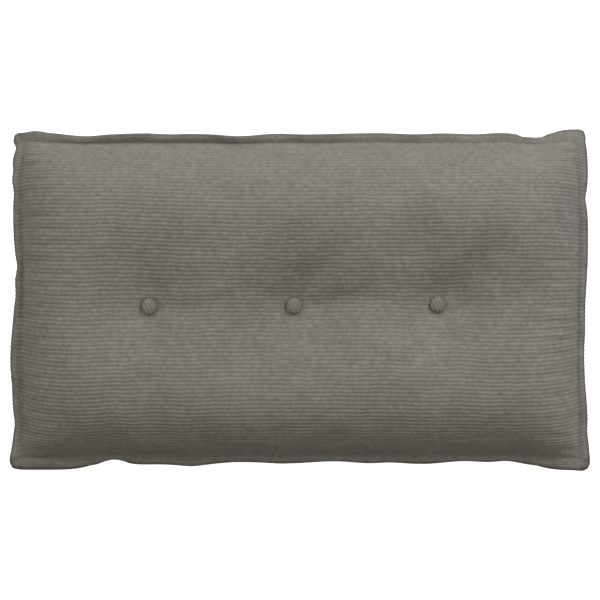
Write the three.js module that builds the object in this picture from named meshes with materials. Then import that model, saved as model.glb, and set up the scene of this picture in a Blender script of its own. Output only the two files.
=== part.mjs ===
// A tufted back cushion lying on its back: one filled cover of ribbed cloth with a
// sewn flange all round, and three cloth-covered buttons pulled into its face.
// Millimetres. X runs along the cushion, Y towards its upper edge, Z up out of its
// face. The origin is under the middle of the outline, on the face it rests on.

import * as THREE from 'three';

// The sewn rectangle of the face, from the middle of the cushion
const seam = { halfLength: 336, halfWidth: 189, middleY: 1.5, height: 49 };

// The flange outside the seam, two layers of cloth turned in and stitched, and how far
// its edge hangs lower than the seam on each side
const flange = { width: 10.8, thickness: 6, seamThickness: 2.4, cornerShare: 0.8 };
const flangeDrop = { top: 0, bottom: 3, left: 1, right: 1 };
const flangeRipple = [
  { length: 118, height: 1.5, phase: 0.4 },
  { length: 47, height: 0.9, phase: 2.1 },
];

// The crown of the filling on each side, and how soon it reaches its full height from
// the left, the right and the long seams
const crowns = {
  front: { height: 62, leftPower: 7, rightPower: 12, acrossPower: 4.75, softness: 0.97 },
  back: { height: 78, leftPower: 5, rightPower: 5, acrossPower: 2.6, softness: 0.6 },
};

// The share by which the cloth is longer than the seams that it is sewn to, gathered
// towards the seams
const slack = { along: 0.035, across: 0.085, alongPower: 5, acrossPower: 2.6, softness: 0.6 };

// The ribs of the cloth run along the cushion, one step from groove to ridge
const ribs = { count: 87, height: 1.2, fade: 9 };

// The broad valley that the row of buttons draws across the face: it is full between
// one pair of places and gone at the other
const valley = {
  depth: 18, widthAbove: 80, widthBelow: 90, sharpness: 1.8,
  leftGone: -330, leftFull: -208, rightFull: 290, rightGone: 340,
};

// Covered buttons, and the pull of their thread
const button = {
  radius: 11, footRadius: 8.6, edgeHeight: 2.6, domeHeight: 7.2, domeSoftness: 0.7,
  ribCount: 5, ribHeight: 0.6, ribTurn: 28 * Math.PI / 180, rowSpread: 0.97, gap: 0.35,
};
const buttonShares = [-1, -0.7, -0.35, 0, 0.35, 0.7, 1];
const tuft = { depth: 1.5, seatRadius: 16, reach: 13, columnOffset: 13 };

// Each button, and the dip that it draws in the face: its depth and its widths
const buttons = [
  { name: 'button_left', x: -182, y: -8, dip: 11, along: 26, above: 85, below: 95, sharpness: 1.36 },
  { name: 'button_middle', x: -7, y: -7, dip: 17.5, along: 63, above: 34, below: 85, sharpness: 1.47 },
  { name: 'button_right', x: 167, y: -5.5, dip: 17, along: 45, above: 45, below: 95, sharpness: 1.56 },
];

// Soft folds that run out from the buttons, each a trough from one end to the other,
// or a swell where its depth is below nothing
const folds = [
  { fromX: -31, fromY: -9, toX: 98, toY: 103, depth: 4.5, width: 17 },
  { fromX: 21, fromY: -15, toX: 133, toY: 16, depth: 4, width: 24 },
  { fromX: 184, fromY: -21, toX: 249, toY: 112, depth: 11, width: 22 },
  { fromX: 174, fromY: 54, toX: 110, toY: 100, depth: 4, width: 30 },
  { fromX: -176, fromY: -17, toX: -114, toY: -2, depth: 3.8, width: 15 },
  { fromX: -194, fromY: -88, toX: -168, toY: -179, depth: 2.7, width: 29 },
  { fromX: -56, fromY: -10, toX: -69, toY: -169, depth: 4, width: 26 },
  { fromX: -11, fromY: 24, toX: 4, toY: 112, depth: 4, width: 34 },
  { fromX: 118, fromY: -44, toX: 135, toY: -136, depth: -4, width: 34 },
  { fromX: -90, fromY: 12, toX: -113, toY: 76, depth: -2.3, width: 30 },
];

// How far the flange stands out of its straight line, at a place along each edge
const edgeWaves = {
  top: [
    { at: -336, out: 0.3 }, { at: -326, out: 3 }, { at: -307, out: 1.8 }, { at: -249, out: -3.1 },
    { at: -191, out: 0.6 }, { at: -113, out: -0.6 }, { at: -75, out: -3.1 }, { at: -36, out: -0.6 },
    { at: 90, out: 0.6 }, { at: 140, out: -0.6 }, { at: 178, out: 0.6 }, { at: 207, out: -0.6 },
    { at: 250, out: 0.8 }, { at: 284, out: -4.4 }, { at: 313, out: 3 }, { at: 336, out: 5.8 },
  ],
  bottom: [
    { at: -336, out: 7.4 }, { at: -290, out: 7.2 }, { at: -249, out: 1.1 }, { at: -222, out: -3.8 },
    { at: -180, out: -0.1 }, { at: -133, out: 2.4 }, { at: -85, out: -1.3 }, { at: 30, out: -2.5 },
    { at: 148, out: -0.1 }, { at: 226, out: -3.8 }, { at: 275, out: 1.1 }, { at: 313, out: 7.2 },
    { at: 336, out: 9 },
  ],
  left: [
    { at: -188, out: 8.2 }, { at: -180, out: 3.4 }, { at: -151, out: -0.8 }, { at: -78, out: 4.2 },
    { at: -5, out: -0.6 }, { at: 20, out: -1.8 }, { at: 38, out: -5.5 }, { at: 55, out: -1.4 },
    { at: 104, out: 0.6 }, { at: 140, out: 1.8 }, { at: 162, out: 0.6 }, { at: 180, out: -4 },
    { at: 190, out: 0.6 },
  ],
  right: [
    { at: -188, out: 8.4 }, { at: -180, out: 3.6 }, { at: -164, out: 1 }, { at: -107, out: -0.6 },
    { at: -64, out: -3 }, { at: 2, out: -1.2 }, { at: 67, out: 1.8 }, { at: 106, out: 0.6 },
    { at: 122, out: -2.2 }, { at: 140, out: 0.6 }, { at: 162, out: 1.8 }, { at: 190, out: -0.8 },
  ],
};

// Cloth that follows a wave of the flange: at the seam, and deeper in the face
const waveAtSeam = 0.4;
const waveReachPower = 6;

// Columns of points across the face, as shares of its half length, besides two at
// each button
const plainColumns = [-1, -0.97, -0.9, -0.8, -0.68, -0.37, -0.22, -0.1, 0.09, 0.17, 0.26, 0.36];
const endColumns = [0.6, 0.69, 0.8, 0.9, 0.97, 1];
const rowsPerRib = 2;
const rowsPerBackRow = 6;

// The flange's section between its seams, from the front round its edge to the back
const flangeSection = [
  { out: 0.3, lift: flange.thickness * 0.34 },
  { out: 0.6, lift: flange.thickness / 2 },
  { out: 0.86, lift: flange.thickness * 0.42 },
  { out: 1, lift: 0 },
  { out: 0.6, lift: -flange.thickness / 2 },
];

const cloth = { color: 0x777369, roughness: 0.95, metalness: 0 };

const clamp01 = (t) => Math.min(1, Math.max(0, t));
const smooth = (t) => clamp01(t) ** 2 * (3 - 2 * clamp01(t));
const fullness = (share, power, softness) => (1 - Math.abs(share) ** power) ** softness;
const bow = (share) => share - share ** 3;

// The height of a wave table at a place, with a soft curve from row to row
function waveAt(table, place) {
  const next = table.findIndex((row) => row.at > place);
  if (next === 0) return table[0].out;
  if (next < 0) return table[table.length - 1].out;
  const low = table[next - 1];
  const high = table[next];
  return low.out + (high.out - low.out) * smooth((place - low.at) / (high.at - low.at));
}

function edgesAt(u, v) {
  const along = u * seam.halfLength;
  const across = seam.middleY + v * seam.halfWidth;
  return {
    top: waveAt(edgeWaves.top, along),
    bottom: waveAt(edgeWaves.bottom, along),
    left: waveAt(edgeWaves.left, across),
    right: waveAt(edgeWaves.right, across),
  };
}

// Where the cloth point at shares u, v of the face lies in plan
function planPoint(u, v) {
  const edge = edgesAt(u, v);
  const toRight = ((1 + u) / 2) ** waveReachPower;
  const toLeft = ((1 - u) / 2) ** waveReachPower;
  const toTop = ((1 + v) / 2) ** waveReachPower;
  const toBottom = ((1 - v) / 2) ** waveReachPower;
  const spreadAlong = slack.along * bow(u) * fullness(v, slack.acrossPower, slack.softness);
  const spreadAcross = slack.across * bow(v) * fullness(u, slack.alongPower, slack.softness);
  return {
    x: seam.halfLength * (u + spreadAlong)
      + waveAtSeam * (toRight * edge.right - toLeft * edge.left),
    y: seam.middleY + seam.halfWidth * (v + spreadAcross)
      + waveAtSeam * (toTop * edge.top - toBottom * edge.bottom),
  };
}

// How far the row of buttons draws the face down at a place in plan
function valleyDepth(x, y) {
  const row = THREE.MathUtils.mapLinear(x, buttons[0].x, buttons[2].x, buttons[0].y, buttons[2].y);
  const width = y > row ? valley.widthAbove : valley.widthBelow;
  const across = Math.exp(-((Math.abs(y - row) / width) ** valley.sharpness));
  const left = smooth((x - valley.leftGone) / (valley.leftFull - valley.leftGone));
  const right = smooth((x - valley.rightGone) / (valley.rightFull - valley.rightGone));
  return valley.depth * across * left * right;
}

// How far the buttons' own dips draw the face down
function dipDepth(x, y) {
  return buttons.reduce((sum, spot) => {
    const across = (y - spot.y) / (y > spot.y ? spot.above : spot.below);
    const away = Math.hypot((x - spot.x) / spot.along, across);
    return sum + spot.dip * Math.exp(-(away ** spot.sharpness));
  }, 0);
}

// How far the folds draw the face down: each trough fades at its far end
function foldDepth(x, y) {
  return folds.reduce((sum, fold) => {
    const run = { x: fold.toX - fold.fromX, y: fold.toY - fold.fromY };
    const length = Math.hypot(run.x, run.y);
    const way = ((x - fold.fromX) * run.x + (y - fold.fromY) * run.y) / length ** 2;
    const aside = ((x - fold.fromX) * run.y - (y - fold.fromY) * run.x) / length;
    const ends = smooth((way + 0.15) / 0.3) * (1 - smooth((way - 0.45) / 0.55));
    return sum + fold.depth * ends * Math.exp(-((aside / fold.width) ** 2));
  }, 0);
}

function nearestTuft(x, y) {
  const reaches = buttons.map((spot) => Math.hypot(x - spot.x, y - spot.y));
  const away = Math.min(...reaches);
  return { away, spot: buttons[reaches.indexOf(away)] };
}

// The share of a crown's height that it reaches at shares u, v of the face
function crownShare(crown, u, v) {
  const along = fullness(u, u > 0 ? crown.rightPower : crown.leftPower, crown.softness);
  return along * fullness(v, crown.acrossPower, crown.softness);
}

// The height of the filled face before its buttons are seated
function openHeight(u, v, x, y) {
  const share = crownShare(crowns.front, u, v);
  const pulls = valleyDepth(x, y) + dipDepth(x, y) + foldDepth(x, y);
  const rise = flange.seamThickness / 2 + crowns.front.height * share;
  return seam.height + rise - clamp01(share * 2) * pulls;
}

// The height of a button's seat, a small level patch at the bottom of its tuft
function seatHeight(spot) {
  const u = spot.x / seam.halfLength;
  const v = (spot.y - seam.middleY) / seam.halfWidth;
  return openHeight(u, v, spot.x, spot.y) - tuft.depth;
}

// A point of the front, without its ribs
function frontPoint(u, v) {
  const { x, y } = planPoint(u, v);
  const open = openHeight(u, v, x, y);
  const { away, spot } = nearestTuft(x, y);
  const free = 1 - Math.exp(-Math.max(0, away - tuft.seatRadius) / tuft.reach);
  return new THREE.Vector3(x, y, seatHeight(spot) * (1 - free) + open * free);
}

// A point of the front with the rib that row stands on: odd rows are ridges
function ribbedPoint(u, v, row) {
  const step = 0.002;
  const here = frontPoint(u, v);
  if (Math.abs(u) === 1 || Math.abs(v) === 1) return here;
  const alongU = frontPoint(u + step, v).sub(frontPoint(u - step, v));
  const alongV = frontPoint(u, v + step).sub(frontPoint(u, v - step));
  const outward = alongU.cross(alongV).normalize();
  const free = smooth((nearestTuft(here.x, here.y).away - tuft.seatRadius) / ribs.fade);
  const side = row % 2 === 1 ? 0.5 : -0.5;
  return here.addScaledVector(outward, side * ribs.height * free);
}

// A point of the back, level where it rests
function backPoint(u, v) {
  const { x, y } = planPoint(u, v);
  const drop = flange.seamThickness / 2 + crowns.back.height * crownShare(crowns.back, u, v);
  return new THREE.Vector3(x, y, Math.max(0, seam.height - drop));
}

// A closed skin of triangles, put together from grids and bands of shared points
class Skin {
  positions = [];
  faces = [];

  add(point) {
    this.positions.push(point.x, point.y, point.z);
    return this.positions.length / 3 - 1;
  }

  grid(rows, facesDown = false) {
    for (let i = 1; i < rows.length; i += 1) {
      for (let j = 1; j < rows[i].length; j += 1) {
        const [a, b, c, d] = [rows[i - 1][j - 1], rows[i - 1][j], rows[i][j], rows[i][j - 1]];
        this.faces.push(...(facesDown ? [a, d, c, a, c, b] : [a, b, c, a, c, d]));
      }
    }
  }

  // Joins two lines of points that run the same way, the second outside the first
  band(inner, outer) {
    let i = 0;
    let j = 0;
    while (i < inner.length - 1 || j < outer.length - 1) {
      const innerNext = (i + 0.5) / (inner.length - 1);
      const outerNext = (j + 0.5) / (outer.length - 1);
      if (outerNext < innerNext) {
        this.faces.push(inner[i], outer[j], outer[j + 1]);
        j += 1;
      } else {
        this.faces.push(inner[i], outer[j], inner[i + 1]);
        i += 1;
      }
    }
  }

  geometry() {
    const geometry = new THREE.BufferGeometry();
    geometry.setAttribute('position', new THREE.Float32BufferAttribute(this.positions, 3));
    geometry.setIndex(this.faces);
    geometry.computeVertexNormals();
    return geometry;
  }
}

// The four sides of a grid of points, in turn, anticlockwise seen from its front
function sidesOf(rows) {
  return [
    rows[0],
    rows.map((row) => row[row.length - 1]),
    [...rows[rows.length - 1]].reverse(),
    rows.map((row) => row[0]).reverse(),
  ];
}

// The share along the middle of the face that lies at a place in plan
function shareAlong(x) {
  const straight = x / seam.halfLength;
  const nearly = straight - slack.along * bow(straight);
  return straight - slack.along * bow(nearly);
}

function faceColumns() {
  const beside = buttons.flatMap((spot) => [
    shareAlong(spot.x - tuft.columnOffset),
    shareAlong(spot.x + tuft.columnOffset),
  ]);
  return [...plainColumns, ...beside, ...endColumns].sort((a, b) => a - b);
}

// A place on the sewn edge of the face, and the way out from it
function flangeStation(u, v) {
  const outX = Math.trunc(u);
  const outY = Math.trunc(v);
  const size = outX !== 0 && outY !== 0 ? flange.cornerShare : 1;
  return { u, v, outX: outX * size, outY: outY * size };
}

// The ripple of the flange out of its plane, at a way along the edge
function ripple(way) {
  return flangeRipple.reduce((sum, wave) => (
    sum + wave.height * Math.sin(2 * Math.PI * way / wave.length + wave.phase)), 0);
}

function flangePoint(station, section) {
  const edge = edgesAt(station.u, station.v);
  const base = planPoint(station.u, station.v);
  const waveX = station.outX > 0 ? edge.right : edge.left;
  const waveY = station.outY > 0 ? edge.top : edge.bottom;
  const reach = (wave) => section.out * (flange.width + (1 - waveAtSeam) * wave);
  const dropX = station.outX > 0 ? flangeDrop.right : flangeDrop.left;
  const dropY = station.outY > 0 ? flangeDrop.top : flangeDrop.bottom;
  const drop = Math.abs(station.outX) * dropX + Math.abs(station.outY) * dropY;
  const way = base.x * station.outY - base.y * station.outX;
  const lift = section.lift + section.out ** 2 * ripple(way) - section.out * drop;
  return new THREE.Vector3(
    base.x + station.outX * reach(waveX),
    base.y + station.outY * reach(waveY),
    seam.height + lift,
  );
}

// The cover in one closed skin: the ribbed face, the flange round it and the back
function cushionGeometry() {
  const skin = new Skin();
  const columns = faceColumns();
  const rowCount = ribs.count * rowsPerRib;
  const rows = Array.from({ length: rowCount + 1 }, (_, row) => ({ row, v: -1 + 2 * row / rowCount }));
  const coarseRows = rows.filter(({ row }) => row % rowsPerBackRow === 0);
  const front = rows.map(({ row, v }) => columns.map((u) => skin.add(ribbedPoint(u, v, row))));
  const back = coarseRows.map(({ v }) => columns.map((u) => skin.add(backPoint(u, v))));
  skin.grid(front);
  skin.grid(back, true);

  const stations = sidesOf(coarseRows.map(({ v }) => columns.map((u) => flangeStation(u, v))));
  const ring = (section) => {
    const points = new Map();
    new Set(stations.flat()).forEach((station) => {
      points.set(station, skin.add(flangePoint(station, section)));
    });
    return stations.map((side) => side.map((station) => points.get(station)));
  };
  const rings = [sidesOf(front), ...flangeSection.map(ring), sidesOf(back)];
  for (let i = 1; i < rings.length; i += 1) {
    rings[i].forEach((side, index) => skin.band(rings[i - 1][index], side));
  }
  return skin.geometry();
}

// Where a point of a button lies: its row across the ribs, its share along a rib
function buttonPlace(row, share, radius) {
  const across = button.rowSpread * row / button.ribCount;
  const along = Math.sqrt(1 - across ** 2) * share;
  const place = new THREE.Vector2(across, -along).multiplyScalar(radius);
  return place.rotateAround(new THREE.Vector2(), button.ribTurn);
}

// The domed top of a button, with every second row raised as a rib
function buttonCapHeight(place, row) {
  const inside = clamp01(1 - (place.length() / button.radius) ** 2);
  const dome = (button.domeHeight - button.edgeHeight) * inside ** button.domeSoftness;
  const side = row % 2 === 0 ? 0.5 : -0.5;
  return button.edgeHeight + dome + side * button.ribHeight * Math.sqrt(inside);
}

// A covered button: a domed cap of ribbed cloth over a narrower foot
function buttonGeometry() {
  const skin = new Skin();
  const rows = Array.from({ length: 2 * button.ribCount + 1 }, (_, i) => i - button.ribCount);
  const layer = (radius, heightAt) => rows.map((row) => buttonShares.map((share) => {
    const place = buttonPlace(row, share, radius);
    return skin.add({ x: place.x, y: place.y, z: heightAt(place, row) });
  }));
  const cap = layer(button.radius, buttonCapHeight);
  const foot = layer(button.footRadius, () => 0);
  skin.grid(cap);
  skin.grid(foot, true);
  sidesOf(cap).forEach((side, index) => skin.band(side, sidesOf(foot)[index]));
  return skin.geometry();
}

function clothMesh(name, geometry) {
  const mesh = new THREE.Mesh(geometry, new THREE.MeshStandardMaterial(cloth));
  mesh.name = name;
  return mesh;
}

// The cushion and its buttons, with the middle of the outline over the origin
function laidCushion() {
  const laid = new THREE.Group();
  laid.add(clothMesh('cushion', cushionGeometry()));
  buttons.forEach((spot) => {
    const mesh = clothMesh(spot.name, buttonGeometry());
    mesh.position.set(spot.x, spot.y, seatHeight(spot) + button.gap);
    laid.add(mesh);
  });
  const middle = new THREE.Box3().setFromObject(laid).getCenter(new THREE.Vector3());
  laid.position.set(-middle.x, -middle.y, 0);
  return laid;
}

const backCushion = new THREE.Group();
backCushion.add(laidCushion());

export default backCushion;
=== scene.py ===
"""A tufted back cushion of ribbed cloth, dressed in Blender around its fixed frame.

The cover is one closed, filled form: a ribbed front, a sewn flange all round and a
back pressed flat where it lies. Three cloth-covered buttons are pulled into the
front, and a row of topstitching runs in the groove beside the flange. Metres, with
Z up out of the face, +X along the cushion and +Y towards its upper edge.
"""

import math

import bpy
import numpy as np
from bpy.props import FloatProperty, FloatVectorProperty, IntProperty, PointerProperty
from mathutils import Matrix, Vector


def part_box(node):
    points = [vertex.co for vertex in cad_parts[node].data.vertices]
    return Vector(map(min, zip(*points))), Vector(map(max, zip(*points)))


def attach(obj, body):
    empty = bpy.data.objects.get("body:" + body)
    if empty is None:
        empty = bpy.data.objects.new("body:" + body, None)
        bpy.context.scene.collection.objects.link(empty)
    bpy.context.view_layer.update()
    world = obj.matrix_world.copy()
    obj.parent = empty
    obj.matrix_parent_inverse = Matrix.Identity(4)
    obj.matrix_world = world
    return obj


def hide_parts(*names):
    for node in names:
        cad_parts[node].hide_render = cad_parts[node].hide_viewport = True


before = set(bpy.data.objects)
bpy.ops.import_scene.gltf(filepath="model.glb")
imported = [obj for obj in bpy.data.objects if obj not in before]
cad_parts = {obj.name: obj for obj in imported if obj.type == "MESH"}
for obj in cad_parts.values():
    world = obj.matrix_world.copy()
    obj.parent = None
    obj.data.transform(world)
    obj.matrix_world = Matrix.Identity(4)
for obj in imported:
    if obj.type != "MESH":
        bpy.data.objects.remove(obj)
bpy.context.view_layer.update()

bl_info = {
    "name": "Tufted Back Cushion",
    "version": (1, 0, 0),
    "blender": (4, 5, 0),
    "location": "View3D > Sidebar > Cushion",
    "description": "Ribbed cover, covered buttons and topstitching of a tufted back cushion",
    "category": "Object",
}

MM = 0.001
BODY = "root"
BUTTON_NODES = ("button_left", "button_middle", "button_right")

# How far the flange stands out of its straight line, in mm: place along the edge, way out
EDGE_WAVES = {
    "top": (
        (-336, 2.9), (-322, 4.5), (-300, 2.3), (-286, 0.4), (-256, -1.6), (-232, 0.1),
        (-188, 1.8), (-160, 0.6), (-136, 1), (-110, 0.5), (-76, -1.7), (-27, 1.3),
        (8, 0.2), (48, 1.2), (94, 2.4), (136, 0.5), (175, 1.8), (214, 0.6),
        (250, 2.4), (264, 0), (272, -2.7), (281, -2.4), (292, -2.8), (303, 1.8),
        (316, 5.1), (336, 6.8),
    ),
    "bottom": (
        (-336, 7.9), (-310, 8.1), (-280, 7.3), (-252, 2.9), (-223, -4.5), (-204, 0.2),
        (-165, 1.3), (-128, 3.7), (-98, -0.2), (-52, -1.2), (-27, 0), (48, -2.1),
        (85, -0.2), (105, -1), (148, 0.6), (202, -2.4), (226, -1.5), (252, -2.4),
        (281, 2.4), (310, 7.6), (336, 9.4),
    ),
    "left": (
        (-188, 5.3), (-180, 3.6), (-161, 0.6), (-151, -0.7), (-132, 1.3), (-105, 2.5),
        (-76, 4.6), (-35, 2.2), (-8, -0.4), (4, -1.8), (23, -1.4), (40, -3.7),
        (55, -1.4), (81, 0.6), (110, 1.1), (130, 0.4), (144, 2.2), (155, 1.2),
        (165, 1.6), (174, 0.2), (182, -2), (191, 1.9),
    ),
    "right": (
        (-190, 5.2), (-176, 3.7), (-156, 1.6), (-146, 1.9), (-127, 1.3), (-108, -0.4),
        (-62, -1.9), (-40, -1.1), (-8, -0.7), (28, 1.4), (66, 2.6), (108, 1.3),
        (122, -0.5), (133, 1.3), (164, 2.2), (180, 1), (190, -0.7),
    ),
}

# The share of those waves that the seam follows, and how fast they fade towards the middle
WAVE_AT_SEAM = 0.4
WAVE_REACH_POWER = 6

# The flange's ripple out of its plane, in mm: wave length, height, phase
FLANGE_RIPPLE = ((118, 1.5, 0.4), (47, 0.9, 2.1), (23, 0.35, 1.0))

# How the cushion stays full and then falls away to its seams: the power of the curve, and
# its softness
UPPER_CURVE, LOWER_CURVE = (4.75, 0.97), (5.4, 0.85)
RIGHT_CURVE, LEFT_CURVE = (12, 0.97), (8, 0.85)
BACK_ALONG_CURVE, BACK_ACROSS_CURVE = (5, 0.6), (2.6, 0.6)

# The dip that each button draws in the face, in mm: depth, width along, above and below,
# and how pointed it is
DIPS = (
    (11, 26, 85, 95, 1.36),
    (17.5, 63, 34, 85, 1.47),
    (17, 45, 45, 95, 1.56),
)

# Soft folds that run out from the buttons, in mm: from x, y to x, y, depth, width
FOLDS = (
    (-31, -9, 98, 103, 4.5, 17),
    (21, -15, 133, 16, 4, 24),
    (184, -21, 249, 112, 11, 22),
    (174, 54, 110, 100, 4, 30),
    (-163, 9, -141, 99, 1.8, 11),
    (-176, -17, -114, -2, 3.8, 15),
    (-194, -88, -168, -179, 2.7, 29),
    (-56, -10, -69, -169, 4, 26),
    (-11, 24, 4, 112, 4, 34),
    (118, -44, 135, -136, -4, 34),
    (-90, 12, -113, 76, -2.3, 30),
    (250, -72, 270, -137, 0.8, 25),
)

# Where along its run a fold grows to its full depth, and where it fades again
FOLD_START, FOLD_END = (-0.15, 0.15), (0.45, 1)

# The valley along the buttons: where it starts and ends in mm (gone, full, full, gone), its
# half width above and below them in mm, and how steep its sides are
VALLEY_ENDS = (-330, -208, 290, 340)
VALLEY_ABOVE, VALLEY_BELOW = 80, 90
VALLEY_STEEPNESS = 1.8

# The cloth at a button, in mm: the gap under the button, where the cloth rises round it and
# how far, where it leaves its seat for the open face, and where it has no ribs
BUTTON_GAP = 0.35
SEAT_RISE, SEAT_RISE_FROM, SEAT_RISE_TO = 1.9, 7.9, 10.1
SEAT_RADIUS, SEAT_REACH = 10.4, 13
UNDER_BUTTON = 12

# The covered buttons: rings down the dome and the side and points round each, how full the
# side is, how much lower than their solids they are in mm, and the share in from the rim with painted
# shade
BUTTON_RINGS, BUTTON_SIDE_RINGS, BUTTON_AROUND = 26, 6, 84
BUTTON_SIDE_POWER = 1.6
BUTTON_LOWER_BY = 0.6
BUTTON_RIM_SHARE = 0.3

# The gathers round a button (how many, how high), from where to where they set in, in mm
# over its rim, and its ribs, in mm over its foot
BUTTON_GATHERS = ((17, 1), (11, 0.6))
GATHERED_FROM, GATHERED_TO = 1.2, -0.8
BUTTON_RIBS_FROM, BUTTON_RIBS_TO = 1.2, 3.2

# How the rows of cloth are laid: the share of the crown that they follow at the side seams,
# the share of the pulls, and how soon they follow the whole crown
LAID_CROWN_AT_SIDES, LAID_PULLS = 0.74, 0.6
LAID_CURVE = (10, 0.8)

# How far the ribs wander up from their straight course, in mm: place along, way up in the
# upper half, way up in the lower half
RIB_LEAN = (
    (-333, 7.4, 1.8), (-324, 6.2, 0.5), (-314, 5.4, -0.4), (-302, 5.1, -0.8), (-230, 3.4, -2.4),
    (-170, 1.8, -1.4), (-121, 0.3, -0.3), (-48, -1.2, -0.6), (12, -0.8, -1.2), (103, -0.7, -0.6),
    (167, 0, -3), (255, 0.6, -3.6), (272, 1.9, -2.5), (288, 2.9, -1.5), (299, 2.5, -0.9),
    (310, 1.6, 0), (322, 1.4, 0.9), (333, 1.9, 2.3),
)
LEAN_CURVE = (6, 1)

# The ribs: how blunt they are in the mesh and in their shading, how uneven, in how many
# stretches along each, the shares of the way to a long seam between which they are drawn
# flat, how flat, and how far their shading then evens out and to what
RIB_BLUNTNESS, SHADED_BLUNTNESS = 0.75, 0.8
RIB_UNEVENNESS, RIB_STRETCHES = 0.1, 60
DRAWN_FLAT_FROM, DRAWN_FLAT_TO, DRAWN_FLAT = 0.87, 0.95, 0.45
JUST_PAST_SEAM = 1.005
EVENED_OUT, EVEN_SHADE = 0.5, 0.66

# How far the face swells and its ribs wander, in mm, and over how many cells along and across
SWELL, SWELL_CELLS = 0.9, (11, 7)
RIB_WANDER, RIB_WANDER_CELLS = 0.36, (70, 40)

# The small troughs where the cloth is gathered into the side seams, least and most in mm,
# and the share of those seams that has them
PUCKERS = {"width": (2.2, 4.2), "length": (7.8, 18.2), "depth": (0.7, 2), "spacing": (9, 19)}
PUCKERED_SHARE = 0.95

# The grid of the cover: columns along it, rows to a rib, and how much closer together the
# columns are at the side seams and the buttons, over what share of the half length
COVER_COLUMNS, ROWS_TO_A_RIB = 104, 4
CROWD_AT_SEAMS, CROWD_AT_BUTTONS = (1.5, 0.06), (1.1, 0.08)

# The cloth simulation: its own coarser grid, how long it runs, how near a button is held in
# mm, how freely the rest moves, the most that a point may move in mm, and the share kept
SETTLING_COLUMNS, SETTLING_ROWS, SETTLING_FRAMES = 113, 65, 22
HELD_ROUND_BUTTON, HELD_ELSEWHERE = 14, 0.015
SETTLED_MOST, SETTLED_SHARE = 4, 0.28
CLOTH_SETTINGS = {
    "quality": 7, "mass": 0.25, "tension_stiffness": 20, "compression_stiffness": 20,
    "shear_stiffness": 6, "bending_stiffness": 1.5, "air_damping": 2, "use_pressure": True,
    "uniform_pressure_force": 3.2, "shrink_min": -0.018,
}

# The flange's corners: the steps in which they turn, and how square they are
CORNER_STEPS, CORNER_SQUARENESS = 9, 3.1

# How much more cloth than width there is across the flange, and how its ribs slant at the ends
FLANGE_CLOTH, FLANGE_SLANT = 1.3, 0.3

# The flange's section out from the seam: share of its width, how far it has risen out of
# the seam, and how full it is
FLANGE_SECTION = (
    (0.0, 0.0, 1), (0.08, 0.08, 1), (0.18, 0.26, 1), (0.3, 0.52, 1), (0.42, 0.78, 1),
    (0.55, 0.95, 1), (0.68, 1, 1), (0.8, 1, 0.95), (0.9, 1, 0.78), (0.965, 1, 0.46), (1.0, 1, 0),
)

# How far the flange's edge hangs lower than its seam, in mm: place along the side, drop
FLANGE_DROP = {
    "top": ((-336, 0), (-290, -2), (20, -2), (110, -1), (200, 1), (336, 3)),
    "bottom": ((-336, 6.5), (-290, 5), (-240, 4.5), (336, 4.5)),
    "left": ((-190, 1.5), (190, 1.5)),
    "right": ((-190, 3.2), (190, 3.2)),
}

# How deep the seam is drawn in between the face and the flange, in mm: place, depth
SEAM_DEPTH = {
    "top": ((-336, 0.6), (-300, 1.1), (100, 1.1), (180, 0.9), (336, 0.3)),
    "bottom": ((-336, 2.4), (336, 2.4)),
    "left": ((-190, 2.6), (190, 2.6)),
    "right": ((-190, 2.3), (190, 2.3)),
}
USUAL_SEAM_DEPTH = 2.1

# Painted shade where the flange turns over at its rim: how much darker it is on each side, and
# the shares of its width between which that sets in
RIM_PAINTED_SHADE = {"top": 0.25, "bottom": 0.42, "left": 0.34, "right": 0.42}
RIM_FROM, RIM_TO = 0.72, 0.88

# Painted shade on the face, on its lower slope, along its lower seam and beside its left seam:
# the shares of the way out between which it sets in, and how much darker. The right end gets less.
PAINTED_FACE_SHADE = {
    "lower slope": (0.35, 0.6, 0.04),
    "lower seam": (0.88, 0.99, 0.14),
    "left seam": (0.92, 1, 0.07),
    "spared right": (0.75, 0.95, 0.8),
}

# How uneven the pile's shade is: size along and across in mm, the noise's low and high, and
# the shade's low and high. The flecks' size across is in ribs, and each rib's are shifted.
PILE_SHADES = {
    "fleck": (6.5, 0.31, 0.35, 0.65, 0.88, 1.12),
    "patch": (60, 30, 0.3, 0.7, 0.95, 1.05),
    "nap": (1.5, 0.8, 0.3, 0.7, 0.89, 1.11),
}
RIB_SHIFT = 47.3
# Painted shade is warmed towards this tint as it deepens
PAINTED_SHADE_TINT = (1, 0.95, 0.72, 1)

# The sockets of the topstitching's nodes: name, kind, way
STITCH_SOCKETS = (
    ("Geometry", "Geometry", "INPUT"), ("Spacing", "Float", "INPUT"), ("Length", "Float", "INPUT"),
    ("Thickness", "Float", "INPUT"), ("Seed", "Int", "INPUT"), ("Thread", "Material", "INPUT"),
    ("Geometry", "Geometry", "OUTPUT"),
)

# Soft lights that face the cushion: name, place, size along and up in metres, power in watts
LIGHTS = (
    ("key", (0, 1.88, 0.73), (0.8, 0.8), 3),
    ("right", (1.64, 0, 1.2), (0.8, 0.8), 5),
    ("far right", (1.24, 1.24, 1.05), (0.9, 0.8), 23.5),
    ("far left", (-1.24, 1.24, 1.05), (0.9, 0.8), 16.5),
)
LIGHT_TARGET = (0, 0, 0.05)
LIGHT_COLOUR = (0.905, 0.955, 1.0)
SKY_COLOUR = (1.0, 0.975, 0.945)


def smooth(value, start=0, end=1):
    """A soft step from 0 at the start to 1 at the end."""
    t = np.clip((value - start) / (end - start), 0, 1)
    return t * t * (3 - 2 * t)


def fullness(share, curve, curve_below=None):
    """How full the filling is at a share of the way from the middle to a seam.

    Shares under 0 follow the curve below, where one is given.
    """
    pairs = zip(curve, curve_below or curve)
    power, softness = (np.where(share > 0, above, below) for above, below in pairs)
    return np.clip(1 - np.abs(share) ** power, 0, 1) ** softness


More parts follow.
